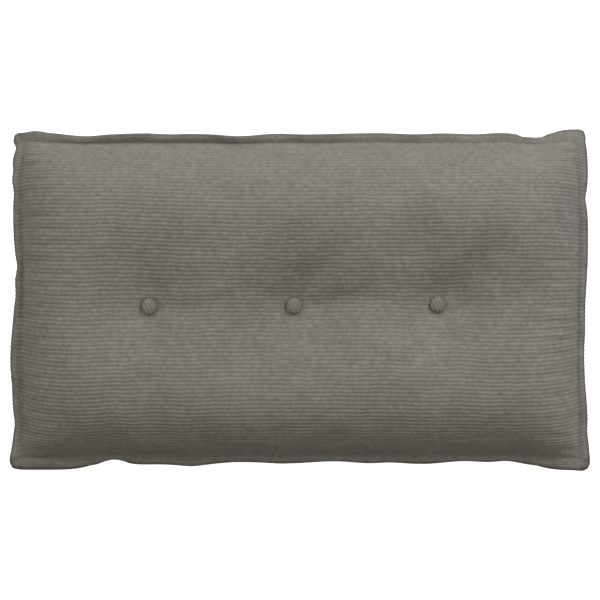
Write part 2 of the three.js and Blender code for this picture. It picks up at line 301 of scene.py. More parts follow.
def crown_across(v):
    """The front's height from the lower to the upper seam: it turns down sooner below."""
    return fullness(v, UPPER_CURVE, LOWER_CURVE)


def front_crown(u, v):
    """The share of the front's height that it reaches at shares u, v: fullest on the right."""
    return fullness(u, RIGHT_CURVE, LEFT_CURVE) * crown_across(v)


def back_crown(u, v):
    """The share of the back's depth that it reaches at shares u, v."""
    return fullness(u, BACK_ALONG_CURVE) * fullness(v, BACK_ACROSS_CURVE)


def bow(share):
    """How far cloth with slack spreads between the middle and a seam, where it is held."""
    return share - share**3


def value_at(table, place):
    """A table's values at places along a side, in metres, on a smooth curve through its rows."""
    at, out = np.array(table).T * MM
    slope = np.gradient(out, at)
    row = np.clip(np.searchsorted(at, place) - 1, 0, len(at) - 2)
    step = at[row + 1] - at[row]
    share = np.clip((place - at[row]) / step, 0, 1)
    start = out[row] + share**2 * (3 - 2 * share) * (out[row + 1] - out[row])
    leaving = share * (1 - share) ** 2 * slope[row]
    arriving = share**2 * (1 - share) * slope[row + 1]
    return start + step * (leaving - arriving)


def reading_matrix(shares, count):
    """Weights that read a row of evenly spaced values smoothly at other shares, -1 to 1."""
    place = (np.asarray(shares) + 1) / 2 * (count - 1)
    cell = np.clip(np.floor(place).astype(int), 0, count - 2)
    t = place - cell
    weights = (
        (-t + 2 * t**2 - t**3) / 2,
        (2 - 5 * t**2 + 3 * t**3) / 2,
        (t + 4 * t**2 - 3 * t**3) / 2,
        (-(t**2) + t**3) / 2,
    )
    matrix = np.zeros((len(place), count))
    for step, weight in zip((-1, 0, 1, 2), weights):
        column = np.clip(cell + step, 0, count - 1)
        np.add.at(matrix, (np.arange(len(place)), column), weight)
    return matrix


def soft_noise(rng, u, v, cells_u, cells_v):
    """Smooth random values over rows v and columns u, about 1 high."""
    values = rng.standard_normal((cells_v, cells_u))
    return reading_matrix(v, cells_v) @ values @ reading_matrix(u, cells_u).T


def metres(**given):
    """A property that holds a length."""
    return FloatProperty(unit="LENGTH", **given)


def paint(**given):
    """A property that holds a colour."""
    return FloatVectorProperty(subtype="COLOR", size=4, min=0, max=1, **given)


class CushionShape(bpy.types.PropertyGroup):
    """Sizes of the cover and its filling."""

    half_length: metres(name="Half length", description="Middle to side seam", default=0.336)
    half_width: metres(name="Half width", description="Middle to upper seam", default=0.1883)
    middle_y: metres(name="Middle", description="The sewn face's middle, up", default=0.0011)
    seam_height: metres(name="Seam height", description="Seams over the floor", default=0.049)
    crown_front: metres(name="Front crown", description="Filling over the seam", default=0.062)
    crown_back: metres(name="Back crown", description="Filling under the seam", default=0.078)
    slack_along: FloatProperty(name="Slack along", description="Cloth over its seam", default=0.035)
    slack_across: FloatProperty(name="Slack across", description="Cloth over its seam", default=0.085)
    rib_count: IntProperty(name="Ribs", description="Ribs across the face", default=87, min=8)
    rib_height: metres(name="Rib height", description="Groove to ridge", default=0.0008)
    valley_depth: metres(name="Valley depth", description="Pull between the buttons", default=0.018)
    flange_width: metres(name="Flange width", description="Seam to outer edge", default=0.0108)
    flange_thickness: metres(name="Flange thickness", description="Over both layers", default=0.006)
    seed: IntProperty(name="Seed", description="Of the cloth's unevenness", default=7)


class CushionCloth(bpy.types.PropertyGroup):
    """Colours and finish of the ribbed cloth."""

    ridge: paint(name="Ridge", description="Of the ribs", default=(0.153, 0.144, 0.1255, 1))
    groove: paint(name="Groove", description="Between ribs", default=(0.122, 0.1145, 0.0995, 1))
    thread: paint(name="Thread", description="Of the stitches", default=(0.12, 0.113, 0.1, 1))
    roughness: FloatProperty(name="Roughness", description="Of the pile", default=0.96, min=0, max=1)
    sheen: FloatProperty(name="Sheen", description="Light in the pile", default=0.12, min=0, max=1)


class CushionButton(bpy.types.PropertyGroup):
    """Sizes of the covered buttons."""

    radius: metres(name="Radius", description="Middle to rim", default=0.0097)
    foot_radius: metres(name="Foot radius", description="Of the flat underside", default=0.0075)
    edge_height: metres(name="Edge height", description="Rim over the foot", default=0.0026)
    dome_softness: FloatProperty(name="Dome", description="Less is flatter", default=0.7)
    narrowness: FloatProperty(name="Narrowness", description="Length over width", default=0.95)
    tilt: FloatProperty(name="Tilt", description="Fall over its width", default=0.16)
    gathers: FloatProperty(name="Gathers", description="Under its rim", default=0.012, min=0)
    ribs: FloatProperty(name="Ribs", description="Ribs across a button", default=4.4)
    rib_height: metres(name="Rib height", description="Groove to ridge", default=0.0007)
    rib_turn: FloatProperty(
        name="Rib turn", description="Slant of the ribs", default=math.radians(28), subtype="ANGLE"
    )
    shade: FloatProperty(name="Shade", description="Of its pile", default=0.05, min=0, max=1)
    # Painted shade at the button's rim
    painted_rim_shade: FloatProperty(name="Rim shade", description="At its rim", default=0.08, min=0, max=1)


class CushionStitch(bpy.types.PropertyGroup):
    """Sizes of the topstitching beside the flange."""

    spacing: metres(name="Spacing", description="Stitch to stitch", default=0.0044)
    length: metres(name="Length", description="Of one stitch", default=0.0034)
    thickness: metres(name="Thickness", description="Of the thread", default=0.0008)


class CushionStage(bpy.types.PropertyGroup):
    """The floor, lights and camera."""

    floor_glow: FloatProperty(name="Floor glow", description="Its own light", default=1, min=0)
    floor_size: metres(name="Floor size", description="Along each side", default=40)
    floor: paint(name="Floor", description="Of the floor", default=(0.35, 0.35, 0.35, 1))
    sky_strength: FloatProperty(name="Sky", description="Even light from all round", default=0.79)
    sky_lean: FloatProperty(name="Sky lean", description="Brighter past the upper edge", default=0.4)
    view_width: metres(name="View width", description="Seen across at the seam", default=0.7275)
    lens: FloatProperty(name="Lens", description="Focal length in mm", default=500)


def fabric_size(shape):
    """Half the length and half the width of the front panel as cut, between seams."""
    half_along = shape.half_length * (1 + shape.slack_along)
    half_across = shape.half_width * (1 + shape.slack_across)
    return half_along, half_across


def rib_pitch(shape):
    """From one rib to the next, across the cloth."""
    return 2 * fabric_size(shape)[1] / shape.rib_count


def along_sides(shape, tables, u, v):
    """What a table for each side says at shares u, v."""
    along = u * shape.half_length
    across = v * shape.half_width
    places = {"top": along, "bottom": along, "left": across, "right": across}
    return {edge: value_at(tables[edge], place) for edge, place in places.items()}


def nearness(u, v):
    """How near shares u, v are to each side, 1 at its seam."""
    shares = {"right": u, "left": -u, "top": v, "bottom": -v}
    return {edge: ((1 + share) / 2) ** WAVE_REACH_POWER for edge, share in shares.items()}


def seam_depth(shape, u, v):
    """How deep the cloth is drawn in beside the flange."""
    depths, near = along_sides(shape, SEAM_DEPTH, u, v), nearness(u, v)
    usual = USUAL_SEAM_DEPTH * MM
    return usual + sum(near[edge] * (depths[edge] - usual) for edge in depths)


def plan(shape, u, v):
    """Where the cloth at shares u, v of a panel lies in plan."""
    waves, near = along_sides(shape, EDGE_WAVES, u, v), nearness(u, v)
    pull = {edge: WAVE_AT_SEAM * near[edge] * waves[edge] for edge in near}
    spread_u = shape.slack_along * bow(u) * fullness(v, BACK_ACROSS_CURVE)
    spread_v = shape.slack_across * bow(v) * fullness(u, BACK_ALONG_CURVE)
    x = shape.half_length * (u + spread_u) + pull["right"] - pull["left"]
    y = shape.middle_y + shape.half_width * (v + spread_v) + pull["top"] - pull["bottom"]
    return x, y


def tuft_seats():
    """The middle of each button in plan, and the height of the cloth under it."""
    seats = []
    for node in BUTTON_NODES:
        low, high = (Vector(corner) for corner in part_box(node))
        middle = (low + high) / 2
        seats.append((middle.x, middle.y, low.z - BUTTON_GAP * MM))
    return seats


def valley_depth(shape, x, y):
    """How far the row of buttons draws the face down."""
    seats = np.array(tuft_seats())
    row = np.polyval(np.polyfit(seats[:, 0], seats[:, 1], 1), x)
    width = np.where(y > row, VALLEY_ABOVE, VALLEY_BELOW) * MM
    across = np.exp(-((np.abs(y - row) / width) ** VALLEY_STEEPNESS))
    left_gone, left_full, right_full, right_gone = np.array(VALLEY_ENDS) * MM
    along = smooth(x, left_gone, left_full) * smooth(x, right_gone, right_full)
    return shape.valley_depth * across * along


def dip_depth(x, y):
    """How far the buttons' own dips draw the face down."""
    total = np.zeros_like(x)
    for (seat_x, seat_y, _), (depth, along, above, below, power) in zip(tuft_seats(), DIPS):
        across = (y - seat_y) / np.where(y > seat_y, above * MM, below * MM)
        away = np.hypot((x - seat_x) / (along * MM), across)
        total += depth * MM * np.exp(-(away**power))
    return total


def fold_depth(x, y):
    """How far the folds draw the face down: each trough fades at its far end."""
    total = np.zeros_like(x)
    for from_x, from_y, to_x, to_y, depth, width in np.array(FOLDS) * MM:
        run_x, run_y = to_x - from_x, to_y - from_y
        length = math.hypot(run_x, run_y)
        way = ((x - from_x) * run_x + (y - from_y) * run_y) / length**2
        aside = ((x - from_x) * run_y - (y - from_y) * run_x) / length
        ends = smooth(way, *FOLD_START) * (1 - smooth(way, *FOLD_END))
        total += depth * ends * np.exp(-((aside / width) ** 2))
    return total


def nearest_tuft(x, y):
    """How far each point is from its nearest button, and that button's seat height."""
    seats = tuft_seats()
    away = np.stack([np.hypot(x - seat[0], y - seat[1]) for seat in seats])
    nearest = np.argmin(away, axis=0)
    return away.min(axis=0), np.array([seat[2] for seat in seats])[nearest]


def front_form(shape, u, v):
    """The front panel's form without its ribs: an array of points for shares u, v."""
    x, y = plan(shape, u, v)
    crown = front_crown(u, v)
    seam_z = shape.seam_height + shape.flange_thickness / 2 - seam_depth(shape, u, v)
    pulls = valley_depth(shape, x, y) + dip_depth(x, y) + fold_depth(x, y)
    open_z = seam_z + shape.crown_front * crown - np.clip(2 * crown, 0, 1) * pulls
    away, seat = nearest_tuft(x, y)
    seat = seat + SEAT_RISE * MM * smooth(away, SEAT_RISE_FROM * MM, SEAT_RISE_TO * MM)
    free = 1 - np.exp(-np.maximum(0, away - SEAT_RADIUS * MM) / (SEAT_REACH * MM))
    return np.stack([x, y, seat * (1 - free) + open_z * free], axis=-1)


def back_form(shape, u, v):
    """The back panel's form without its ribs, level where it rests."""
    x, y = plan(shape, u, v)
    seam_z = shape.seam_height - shape.flange_thickness / 2 + USUAL_SEAM_DEPTH * MM
    z = seam_z - shape.crown_back * back_crown(u, v)
    return np.stack([x, y, np.maximum(shape.rib_height / 2, z)], axis=-1)


def rib_lean(shape, u, v):
    """How far the ribs wander up at shares u, v, as a share of half the width."""
    place, high, low = np.array(RIB_LEAN).T * MM
    x = u * shape.half_length
    upper = smooth(v, -0.4, 0.4)
    lean = np.interp(x, place, high) * upper + np.interp(x, place, low) * (1 - upper)
    return lean * fullness(v, LEAN_CURVE) / shape.half_width


def laid_rows(shape, columns, rows):
    """The shares v at which rows of cloth, evenly spaced in its own length, cross each column.

    The ribs keep their course until close to the side seams, where they are drawn in.
    """
    u, v = np.meshgrid(columns, np.linspace(-1, 1, 601))
    x, y = plan(shape, u, v)
    followed = LAID_CROWN_AT_SIDES + (1 - LAID_CROWN_AT_SIDES) * fullness(u, LAID_CURVE)
    crown = crown_across(v) * followed
    pulls = valley_depth(shape, x, y) + dip_depth(x, y) + fold_depth(x, y)
    z = shape.crown_front * crown - LAID_PULLS * np.clip(2 * crown, 0, 1) * pulls
    way = np.cumsum(np.hypot(np.diff(y, axis=0), np.diff(z, axis=0)), axis=0)
    way = np.concatenate([np.zeros((1, len(columns))), way / way[-1]])
    shares = (rows + 1) / 2
    laid = [np.interp(shares, column, v[:, 0]) for column in way.T]
    laid = np.stack(laid, axis=1)
    return laid + rib_lean(shape, columns, laid)


def grid_indices(rows, columns, start=0):
    """Point numbers laid out in a grid."""
    return start + np.arange(rows * columns).reshape(rows, columns)


def grid_faces(index, facing_down=False):
    """Four-cornered faces over a grid of point numbers."""
    a, b = index[:-1, :-1], index[:-1, 1:]
    c, d = index[1:, 1:], index[1:, :-1]
    corners = (a, d, c, b) if facing_down else (a, b, c, d)
    return np.stack(corners, axis=-1).reshape(-1, 4)


def band_faces(inner, outer):
    """Faces between two closed rings of points, the second outside the first."""
    return np.stack([inner, outer, np.roll(outer, -1), np.roll(inner, -1)], axis=-1)


def new_mesh_object(name, points, faces):
    """A mesh object from points and faces. A face that repeats a point is a triangle."""
    mesh = bpy.data.meshes.new(name)
    rings = [list(dict.fromkeys(face)) for face in faces.tolist()]
    mesh.from_pydata(points.tolist(), [], rings)
    mesh.update()
    piece = bpy.data.objects.new(name, mesh)
    bpy.context.scene.collection.objects.link(piece)
    return piece


def shade_smooth(piece):
    """Shades a piece's faces as one smooth surface."""
    piece.data.polygons.foreach_set("use_smooth", [True] * len(piece.data.polygons))


def cloth_object(name, points, faces, fabric, shade):
    """A piece of ribbed cloth, with the map its ribs follow and its darkening, mostly painted shade.
    """
    piece = new_mesh_object(name, points, faces)
    mesh = piece.data
    corner_points = np.empty(len(mesh.loops), dtype=np.int32)
    mesh.loops.foreach_get("vertex_index", corner_points)
    layer = mesh.uv_layers.new(name="cloth")
    layer.data.foreach_set("uv", fabric[corner_points].astype(np.float32).ravel())
    # the edge attribute: painted shade, and on buttons also their darker tone
    mesh.attributes.new("edge", "FLOAT", "POINT").data.foreach_set("value", shade)
    shade_smooth(piece)
    return piece


def point_normals(points, faces):
    """The outward direction at each point, from the faces that meet there."""
    a, b, c, d = (points[faces[:, i]] for i in range(4))
    across = np.cross(c - a, d - b)
    normals = np.zeros_like(points)
    for i in range(4):
        np.add.at(normals, faces[:, i], across)
    return normals / np.maximum(np.linalg.norm(normals, axis=1), 1e-12)[:, None]


def fine_part(move, held):
    """Leaves the wrinkles of a panel's movement and takes out its broad swell."""
    reach, width = 12, 5.5
    kernel = np.exp(-((np.arange(-reach, reach + 1) / width) ** 2))
    kernel /= kernel.sum()
    broad = move
    for axis in (0, 1):
        edge = [(reach, reach) if i == axis else (0, 0) for i in range(3)]
        padded = np.pad(broad, edge, mode="edge")
        broad = np.apply_along_axis(lambda line: np.convolve(line, kernel, "valid"), axis, padded)
    return np.where(held[..., None], 0, move - broad)


def sewn_sack(shape):
    """A coarse front and back that share their seams: points, faces, and each panel's numbers."""
    rows, columns = SETTLING_ROWS, SETTLING_COLUMNS
    u = np.linspace(-1, 1, columns)
    v = laid_rows(shape, u, np.linspace(-1, 1, rows))
    panels = [form(shape, u + 0 * v, v).reshape(-1, 3) for form in (front_form, back_form)]
    front_index = grid_indices(rows, columns)
    back_index = grid_indices(rows, columns, rows * columns)
    for place in (np.s_[0, :], np.s_[-1, :], np.s_[:, 0], np.s_[:, -1]):
        back_index[place] = front_index[place]
    faces = np.concatenate([grid_faces(front_index), grid_faces(back_index, facing_down=True)])
    return np.concatenate(panels), faces, (front_index, back_index)


def held_points(shape, points, front_index, back_index):
    """Which points are held: the seams, the tufts and the part that rests on the floor."""
    away, _ = nearest_tuft(points[:, 0], points[:, 1])
    numbers = np.arange(len(points))
    at_seam = np.isin(numbers, np.intersect1d(front_index, back_index))
    on_front = numbers < front_index.size
    resting = ~on_front & (points[:, 2] < shape.rib_height)
    return at_seam | resting | (on_front & (away < HELD_ROUND_BUTTON * MM))


def cloth_modifier(piece, held):
    """Blender's cloth on a piece, filled with air and held by a group of its points."""
    group = piece.vertex_groups.new(name="held")
    group.add(np.flatnonzero(held).tolist(), 1, "REPLACE")
    group.add(np.flatnonzero(~held).tolist(), HELD_ELSEWHERE, "REPLACE")
    cloth = piece.modifiers.new("settling", "CLOTH")
    for name, value in CLOTH_SETTINGS.items():
        setattr(cloth.settings, name, value)
    cloth.settings.vertex_group_mass = group.name
    cloth.settings.effector_weights.gravity = 0
    cloth.collision_settings.use_collision = False
    cloth.collision_settings.use_self_collision = False
    cloth.point_cache.frame_start = 1
    cloth.point_cache.frame_end = SETTLING_FRAMES


def settle_cloth(shape):
    """Fills the cover with Blender's cloth and returns how the front and back moved.

    The cloth is a little larger than the form, so it puckers where it is sewn down.
    """
    points, faces, panels = sewn_sack(shape)
    held = held_points(shape, points, *panels)
    used, numbers = np.unique(faces, return_inverse=True)
    piece = new_mesh_object("settling", points[used], numbers.reshape(faces.shape))
    cloth_modifier(piece, held[used])
    scene = bpy.context.scene
    for number in range(1, SETTLING_FRAMES + 1):
        scene.frame_set(number)
    settled = piece.evaluated_get(bpy.context.evaluated_depsgraph_get()).to_mesh()
    moved = np.empty(len(used) * 3)
    settled.vertices.foreach_get("co", moved)
    moved = moved.reshape(-1, 3) - points[used]
    piece.to_mesh_clear()
    bpy.data.objects.remove(piece)
    scene.frame_set(1)

    far = np.linalg.norm(moved, axis=1, keepdims=True)
    most = SETTLED_MOST * MM
    moved *= SETTLED_SHARE * most * np.tanh(far / most) / np.maximum(far, 1e-9)
    move = np.zeros_like(points)
    move[used] = moved
    return [fine_part(move[index], held[index]) for index in panels]


def uneven_columns(shape, count):
    """Shares along the cushion, closer together near the seams and the buttons."""
    even = np.linspace(-1, 1, 2001)
    crowding, reach = CROWD_AT_SEAMS
    crowd = 1 + crowding * np.exp(-(1 - np.abs(even)) / reach)
    crowding, reach = CROWD_AT_BUTTONS
    for x, _, _ in tuft_seats():
        crowd += crowding * np.exp(-(((even - x / shape.half_length) / reach) ** 2))
    way = np.concatenate([[0], np.cumsum((crowd[1:] + crowd[:-1]) / 2)])
    return np.interp(np.linspace(0, 1, count), way / way[-1], even)


def side_puckers(shape, u, v, rng):
    """Small troughs where the cloth is gathered into the side seams."""
    depth = np.zeros(np.broadcast(u, v).shape)
    for side in (-1, 1):
        place = -PUCKERED_SHARE
        while place < PUCKERED_SHARE:
            width, length, deep, spacing = (rng.uniform(*ends) * MM for ends in PUCKERS.values())
            aside = np.exp(-(((v - place) * shape.half_width / width) ** 2))
            inward = (1 - side * u) * shape.half_length / length
            depth += deep * aside * inward * np.exp(1 - inward)
            place += spacing / shape.half_width
    return depth


def flange_stations(front_index, back_index, u, v):
    """Places round the sewn edge, with the way out at each and a fan at each corner."""
    last_row, last_column = u.shape[0] - 1, u.shape[1] - 1
    fan = CORNER_STEPS
    sides = (
        [(0, j) for j in range(last_column + 1)],
        [(i, last_column) for i in range(last_row + 1)],
        [(last_row, j) for j in range(last_column, -1, -1)],
        [(i, 0) for i in range(last_row, -1, -1)],
    )
    cells, turns = [], []
    for quarter, side in enumerate(sides):
        cells += side + [side[-1]] * fan
        start = quarter - 1
        turns += [start] * len(side) + [start + (k + 1) / (fan + 1) for k in range(fan)]
    rows, columns = np.array(cells).T
    angle = np.array(turns) * math.pi / 2
    out_x, out_y = np.cos(angle), np.sin(angle)
    power = CORNER_SQUARENESS
    size = (np.abs(out_x) ** power + np.abs(out_y) ** power) ** (-1 / power)
    return {
        "front": front_index[rows, columns],
        "back": back_index[rows, columns],
        "u": u[rows, columns],
        "v": v[rows, columns],
        "out_x": out_x * size,
        "out_y": out_y * size,
    }


def by_side(stations, values):
    """What values by side say for the way out along the cushion and across it."""
    along = np.where(stations["out_x"] > 0, values["right"], values["left"])
    return along, np.where(stations["out_y"] > 0, values["top"], values["bottom"])


def flange_ring(shape, stations, section, side):
    """One ring of points round the flange, on its front or back side, and its cloth map."""
    out, risen, full = section
    u, v, out_x, out_y = (stations[name] for name in ("u", "v", "out_x", "out_y"))
    x, y = plan(shape, u, v)
    wave_x, wave_y = by_side(stations, along_sides(shape, EDGE_WAVES, u, v))
    drop_x, drop_y = by_side(stations, along_sides(shape, FLANGE_DROP, u, v))
    reach_x = out * out_x * (shape.flange_width + (1 - WAVE_AT_SEAM) * wave_x)
    reach_y = out * out_y * (shape.flange_width + (1 - WAVE_AT_SEAM) * wave_y)
    depth = seam_depth(shape, u, v) if side > 0 else USUAL_SEAM_DEPTH * MM
    lift = side * (full * shape.flange_thickness / 2 - (1 - risen) * depth)
    lift = lift - out * (np.abs(out_x) * drop_x + np.abs(out_y) * drop_y)
    way = x * out_y - y * out_x
    for length, height, phase in FLANGE_RIPPLE:
        lift += out**2 * height * MM * np.sin(2 * math.pi * way / (length * MM) + phase)
    points = np.stack([x + reach_x, y + reach_y, shape.seam_height + lift], axis=-1)
    slant = FLANGE_SLANT * v * out * np.abs(out_x) * shape.flange_width
    fabric = stations["cloth"] + np.stack([reach_x, FLANGE_CLOTH * reach_y + slant], axis=-1)
    return points, fabric


def painted_rim_shade(stations, out):
    """How much painted shade darkens the flange at each station, a share of the way out to its rim.
    """
    along, across = by_side(stations, RIM_PAINTED_SHADE)
    at_end = np.abs(stations["out_x"]) > np.abs(stations["out_y"])
    return np.where(at_end, along, across) * smooth(out, RIM_FROM, RIM_TO)


def painted_face_shade(u, v):
    """How much painted shade darkens the face, low down and at the left."""
    # pressed gives the painted shade of one row of the table
    def pressed(place, share):
        start, end, darker = PAINTED_FACE_SHADE[place]
        return darker * smooth(share, start, end)

    below = pressed("lower slope", -v) + pressed("lower seam", -v)
    past_lower_seam = smooth(-v, *PAINTED_FACE_SHADE["lower seam"][:2])
    beside = pressed("left seam", -u) * (1 - past_lower_seam)
    return below * (1 - pressed("spared right", u)) + beside


def rib_relief(shape, fabric, rng):
    """How far each point of cloth stands over the grooves, as uneven as real ribs."""
    phase = fabric[:, 1] / rib_pitch(shape)
    ridge = np.abs(np.sin(math.pi * phase)) ** RIB_BLUNTNESS
    number = np.floor(phase).astype(int)
    number -= number.min()
    half_along, half_across = fabric_size(shape)
    count = number.max() + 1
    uneven = rng.standard_normal((count, RIB_STRETCHES))
    place = (fabric[:, 0] / half_along + 1) / 2 * RIB_STRETCHES + rng.uniform(0, 1, count)[number]
    cell = np.floor(place).astype(int)
    before, after = (uneven[number, (cell + step) % RIB_STRETCHES] for step in (0, 1))
    share = smooth(place - cell)
    height = before * (1 - share) + after * share
    edge = np.abs(fabric[:, 1]) / half_across
    flat = smooth(edge, DRAWN_FLAT_FROM, DRAWN_FLAT_TO) * (1 - smooth(edge, 1, 1.02))
    return shape.rib_height * ridge * (1 + RIB_UNEVENNESS * height) * (1 - DRAWN_FLAT * flat)


def sewn_panels(shape, columns, rows, rng):
    """The front and back panels as they lie, without ribs, and the shares u, v of their points."""
    v = laid_rows(shape, columns, rows)
    u = columns + 0 * v
    front, back = (form(shape, u, v) for form in (front_form, back_form))
    for form, move in zip((front, back), settle_cloth(shape)):
        read_u = reading_matrix(columns, move.shape[1])
        read_v = reading_matrix(rows, move.shape[0])
        form += np.einsum("ai,ijk,bj->abk", read_v, move, read_u, optimize=True)
    inner = back_crown(u, v)
    front[..., 2] += SWELL * MM * inner * soft_noise(rng, columns, rows, *SWELL_CELLS)
    front[..., 2] -= side_puckers(shape, u, v, rng)
    front[..., 1] += RIB_WANDER * MM * inner * soft_noise(rng, columns, rows, *RIB_WANDER_CELLS)
    return front, back, u, v


def sewn_flange(shape, stations, start):
    """The flange from the front's seam to the back's: points, cloth map, shade and faces."""
    over = [(row, 1) for row in FLANGE_SECTION[1:]]
    under = [(row, -1) for row in FLANGE_SECTION[-2:0:-1]]
    points, fabric, edge, faces = [], [], [], []
    inner_ring = stations["front"]
    for section, side in over + under:
        ring_points, ring_fabric = flange_ring(shape, stations, section, side)
        points.append(ring_points)
        fabric.append(ring_fabric)
        # painted shade at the flange's rim
        edge.append(painted_rim_shade(stations, section[0]))
        ring = start + np.arange(len(ring_points))
        faces.append(band_faces(inner_ring, ring))
        inner_ring, start = ring, start + len(ring)
    faces.append(band_faces(inner_ring, stations["back"]))
    return points, fabric, edge, faces


def raise_ribs(shape, points, faces, fabric, front_count, rng):
    """Moves the points out to their ribs: flat under the buttons, and never into the floor."""
    away, _ = nearest_tuft(points[:, 0], points[:, 1])
    under_button = (np.arange(len(points)) < front_count) & (away < UNDER_BUTTON * MM)
    relief = rib_relief(shape, fabric, rng) - shape.rib_height / 2
    relief[under_button] = -shape.rib_height / 2
    points += point_normals(points, faces) * relief[:, None]
    points[:, 2] = np.maximum(points[:, 2], 0)


def cover_piece(shape):
    """The cover with its filling: front, flange and back in one closed skin, and its seam."""
    rng = np.random.default_rng(shape.seed)
    columns = uneven_columns(shape, COVER_COLUMNS)
    rows = np.linspace(-1, 1, shape.rib_count * ROWS_TO_A_RIB + 1)
    front, back, u, v = sewn_panels(shape, columns, rows, rng)
    front_index = grid_indices(*u.shape)
    back_index = grid_indices(*u.shape, start=u.size)
    half_along, half_across = fabric_size(shape)
    panel_fabric = np.stack(np.meshgrid(columns * half_along, rows * half_across), axis=-1)
    panel_fabric = panel_fabric.reshape(-1, 2)
    stations = flange_stations(front_index, back_index, u, v)
    stations["cloth"] = panel_fabric[stations["front"]]
    panels = (
        [front.reshape(-1, 3), back.reshape(-1, 3)],
        [panel_fabric, panel_fabric],
        # painted shade on the face; none on the back
        [painted_face_shade(u, v).ravel(), np.zeros(u.size)],
        [grid_faces(front_index), grid_faces(back_index, facing_down=True)],
    )
    flange = sewn_flange(shape, stations, 2 * u.size)
    points, fabric, edge, faces = (np.concatenate(a + b) for a, b in zip(panels, flange))
    raise_ribs(shape, points, faces, fabric, u.size, rng)
    seam = points[np.array(list(dict.fromkeys(stations["front"].tolist())))]
    return cloth_object("cover", points, faces, fabric, edge), seam


def feed(tree, node, inputs):
    """Gives a node its inputs, as values or as sockets to link."""
    for key, value in dict(inputs).items():
        if isinstance(value, bpy.types.NodeSocket):
            tree.links.new(value, node.inputs[key])
        else:
            node.inputs[key].default_value = value


def add_node(tree, kind, inputs=(), **settings):
    """A node with its settings and its inputs."""
    made = tree.nodes.new(kind)
    for name, value in settings.items():
        setattr(made, name, value)
    feed(tree, made, inputs)
    return made


def new_material(name):
    """A new material, its nodes and its shader."""
    material = bpy.data.materials.new(name)
    material.use_nodes = True
    tree = material.node_tree
    return material, tree, tree.nodes["Principled BSDF"]


def calculate(tree, operation, *values):
    """The result of a Math node on values or sockets."""
    return add_node(tree, "ShaderNodeMath", dict(enumerate(values)), operation=operation).outputs[0]


def spread_noise(tree, along, across, size_along, size_across):
    """Noise on the cloth map with its own size along and across the ribs."""
    place = add_node(tree, "ShaderNodeCombineXYZ", {
        0: calculate(tree, "DIVIDE", along, size_along),
        1: calculate(tree, "DIVIDE", across, size_across),
    })
    noise = add_node(tree, "ShaderNodeTexNoise", {
        "Vector": place.outputs[0], "Scale": 1.0, "Detail": 2.0, "Roughness": 0.55,
    })
    return noise.outputs["Fac"]


def read_into(tree, value, start, end, low, high, ease="LINEAR"):
    """A value read from the range start to end into the range low to high."""
    return add_node(tree, "ShaderNodeMapRange", {
        "Value": value, "From Min": start, "From Max": end, "To Min": low, "To Max": high,
    }, interpolation_type=ease).outputs[0]


def mixed_colour(tree, share, first, second):
    """A share of the way from one colour to another."""
    mix = add_node(tree, "ShaderNodeMix", {0: share, 6: first, 7: second}, data_type="RGBA")
    return mix.outputs[2]


def rib_ridge(tree, shape, rib, across):
    """How near a place is to the top of its rib, evened out where ribs are drawn flat."""
    half_turn = calculate(tree, "MULTIPLY", rib, math.pi)
    ridge = calculate(tree, "ABSOLUTE", calculate(tree, "SINE", half_turn))
    ridge = calculate(tree, "POWER", ridge, SHADED_BLUNTNESS)
    way_out = calculate(tree, "DIVIDE", calculate(tree, "ABSOLUTE", across), fabric_size(shape)[1])
    flat = read_into(tree, way_out, DRAWN_FLAT_FROM, DRAWN_FLAT_TO, 0, EVENED_OUT, "SMOOTHSTEP")
    flat = calculate(tree, "MULTIPLY", flat, calculate(tree, "LESS_THAN", way_out, JUST_PAST_SEAM))
    return add_node(tree, "ShaderNodeMix", {0: flat, 2: ridge, 3: EVEN_SHADE}).outputs[0]


def pile_shade(tree, along, across, rib):
    """How light the pile is, from its flecks along each rib, its patches and its nap."""
    rib_number = calculate(tree, "FLOOR", rib)
    shift = calculate(tree, "MULTIPLY", rib_number, RIB_SHIFT * MM)
    shifted = calculate(tree, "ADD", along, shift)
    shades = {}
    for name, (size_along, size_across, *reading) in PILE_SHADES.items():
        if name == "fleck":
            noise = spread_noise(tree, shifted, rib_number, size_along * MM, size_across)
        else:
            noise = spread_noise(tree, along, across, size_along * MM, size_across * MM)
        shades[name] = read_into(tree, noise, *reading)
    broad = calculate(tree, "MULTIPLY", shades["fleck"], shades["patch"])
    return calculate(tree, "MULTIPLY", broad, shades["nap"]), noise


def ribbed_material(name, shape, cloth):
    """Ribbed pile cloth: dark grooves, lighter ribs with short flecks, a fine nap and painted shade.
    """
    material, tree, shader = new_material(name)
    cloth_place = add_node(tree, "ShaderNodeUVMap", uv_map="cloth").outputs[0]
    along, across, _ = add_node(tree, "ShaderNodeSeparateXYZ", {0: cloth_place}).outputs
    rib = calculate(tree, "DIVIDE", across, rib_pitch(shape))
    ridge = rib_ridge(tree, shape, rib, across)
    shade, nap = pile_shade(tree, along, across, rib)
    # The edge attribute holds painted shade (the flange's rim, low on the face, at the left and at
    # the buttons' rims) and the buttons' darker tone: it darkens the colour and warms it
    edge = add_node(tree, "ShaderNodeAttribute", attribute_name="edge").outputs["Fac"]
    shade = calculate(tree, "MULTIPLY", shade, calculate(tree, "SUBTRACT", 1.0, edge))
    warmth = mixed_colour(tree, edge, (1, 1, 1, 1), PAINTED_SHADE_TINT)
    base = mixed_colour(tree, ridge, cloth.groove, cloth.ridge)
    warmed = add_node(tree, "ShaderNodeVectorMath", {0: base, 1: warmth}, operation="MULTIPLY")
    colour = add_node(tree, "ShaderNodeVectorMath", {
        0: warmed.outputs[0], "Scale": shade,
    }, operation="SCALE")
    rough = read_into(tree, nap, 0, 1, cloth.roughness - 0.05, cloth.roughness + 0.03)
    bump = add_node(tree, "ShaderNodeBump", {"Strength": 0.6, "Distance": 0.0006, "Height": nap})
    feed(tree, shader, {
        "Base Color": colour.outputs[0],
        "Roughness": rough,
        "Normal": bump.outputs[0],
        "Sheen Weight": cloth.sheen,
        "Sheen Roughness": 0.5,
        "Specular IOR Level": 0.15,
    })
    return material


